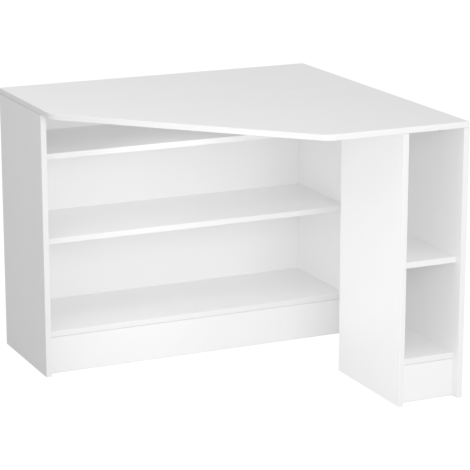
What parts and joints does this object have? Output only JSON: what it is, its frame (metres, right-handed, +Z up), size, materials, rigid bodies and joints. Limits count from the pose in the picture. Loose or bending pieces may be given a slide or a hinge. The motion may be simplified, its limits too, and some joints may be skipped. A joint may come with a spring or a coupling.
{
  "type": "corner desk",
  "caption": "White corner desk with a five-sided top on a wide open bookcase at the back and a narrow open bookcase at the front right.",
  "frame": {"origin": "on the floor, under the middle of the desk's bounding box", "axes": "+Z up; the front faces -Y and the long back, which stands against a wall, faces +Y; +X is to the right of someone who faces the desk's front, and the right-hand side faces the other wall"},
  "size_m": [0.95, 0.96, 0.75],
  "materials": {
    "white_board": "satin white melamine-faced chipboard",
    "edge_band": "satin white ABS edge band",
    "hardboard_back": "white lacquered hardboard",
    "zinc_cam": "die-cast zinc",
    "plated_steel": "bright zinc-plated steel",
    "beech": "plain beech"
  },
  "bodies": {
    "root": {"back_unit_back_panel": "hardboard_back", "back_unit_bottom_shelf": "white_board", "back_unit_left_end": "white_board", "back_unit_middle_shelf": "white_board", "back_unit_middle_shelf_pin_left_front": "plated_steel", "back_unit_middle_shelf_pin_left_rear": "plated_steel", "back_unit_middle_shelf_pin_right_front": "plated_steel", "back_unit_middle_shelf_pin_right_rear": "plated_steel", "back_unit_plinth": "white_board", "back_unit_plinth_dowel_left": "beech", "back_unit_plinth_dowel_right": "beech", "back_unit_right_end": "white_board", "back_unit_shelf_left_front_bolt": "plated_steel", "back_unit_shelf_left_front_cam": "zinc_cam", "back_unit_shelf_left_rear_bolt": "plated_steel", "back_unit_shelf_left_rear_cam": "zinc_cam", "back_unit_shelf_right_front_bolt": "plated_steel", "back_unit_shelf_right_front_cam": "zinc_cam", "back_unit_shelf_right_rear_bolt": "plated_steel", "back_unit_shelf_right_rear_cam": "zinc_cam", "back_unit_top_left_front_bolt": "plated_steel", "back_unit_top_left_front_cam": "zinc_cam", "back_unit_top_left_rear_bolt": "plated_steel", "back_unit_top_left_rear_cam": "zinc_cam", "back_unit_top_right_front_bolt": "plated_steel", "back_unit_top_right_front_cam": "zinc_cam", "back_unit_top_right_rear_bolt": "plated_steel", "back_unit_top_right_rear_cam": "zinc_cam", "back_unit_upper_shelf": "white_board", "back_unit_upper_shelf_pin_left_front": "plated_steel", "back_unit_upper_shelf_pin_left_rear": "plated_steel", "back_unit_upper_shelf_pin_right_front": "plated_steel", "back_unit_upper_shelf_pin_right_rear": "plated_steel", "side_unit_back_panel": "hardboard_back", "side_unit_bottom_shelf": "white_board", "side_unit_left_end": "white_board", "side_unit_middle_shelf": "white_board", "side_unit_middle_shelf_pin_left_front": "plated_steel", "side_unit_middle_shelf_pin_left_rear": "plated_steel", "side_unit_middle_shelf_pin_right_front": "plated_steel", "side_unit_middle_shelf_pin_right_rear": "plated_steel", "side_unit_plinth": "white_board", "side_unit_plinth_dowel_left": "beech", "side_unit_plinth_dowel_right": "beech", "side_unit_right_end": "white_board", "side_unit_shelf_left_front_bolt": "plated_steel", "side_unit_shelf_left_front_cam": "zinc_cam", "side_unit_shelf_left_rear_dowel": "beech", "side_unit_shelf_right_front_bolt": "plated_steel", "side_unit_shelf_right_front_cam": "zinc_cam", "side_unit_shelf_right_rear_dowel": "beech", "side_unit_top_left_front_bolt": "plated_steel", "side_unit_top_left_front_cam": "zinc_cam", "side_unit_top_left_rear_bolt": "plated_steel", "side_unit_top_left_rear_cam": "zinc_cam", "side_unit_top_right_front_bolt": "plated_steel", "side_unit_top_right_front_cam": "zinc_cam", "side_unit_top_right_rear_bolt": "plated_steel", "side_unit_top_right_rear_cam": "zinc_cam", "tabletop": "white_board"}
  },
  "joints": []
}
